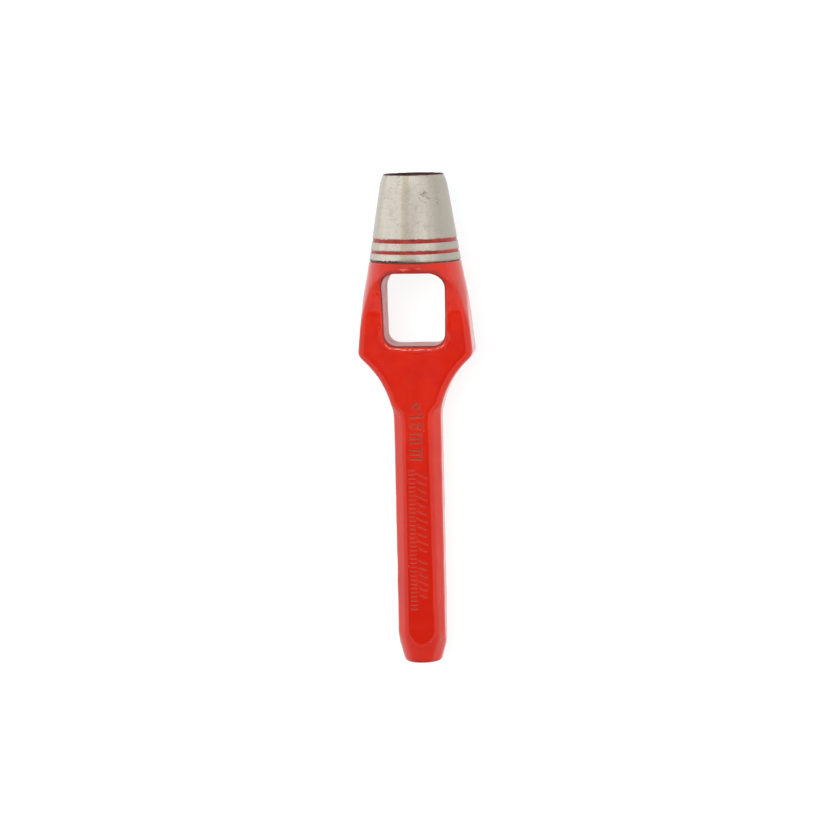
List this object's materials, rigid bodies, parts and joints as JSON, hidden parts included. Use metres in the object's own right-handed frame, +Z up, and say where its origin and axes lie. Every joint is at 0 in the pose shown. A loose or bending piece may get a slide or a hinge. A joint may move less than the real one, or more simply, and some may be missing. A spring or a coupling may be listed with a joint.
{
  "type": "drive hole punch",
  "caption": "Handled drive hole punch: ground tubular cutter in the collar of a red forged handle with a slug window and an octagonal striking shank.",
  "frame": {"origin": "middle of the bounding box in X and Y, on the surface the punch lies on", "axes": "+Z up from the bench, +Y towards the cutting edge, +X to the right seen from above; the tool's own axis leans up 3.54 degrees from +Y towards the cutter"},
  "size_m": [0.0352, 0.1506, 0.0288],
  "materials": {
    "ground_steel": "satin",
    "red_enamel": "gloss",
    "groove_enamel": "gloss",
    "braze": "satin"
  },
  "bodies": {
    "root": {"cutting_head": "ground_steel", "forged_handle": "red_enamel", "braze_joint": "braze", "upper_groove_enamel": "groove_enamel", "lower_groove_enamel": "groove_enamel"}
  },
  "joints": []
}
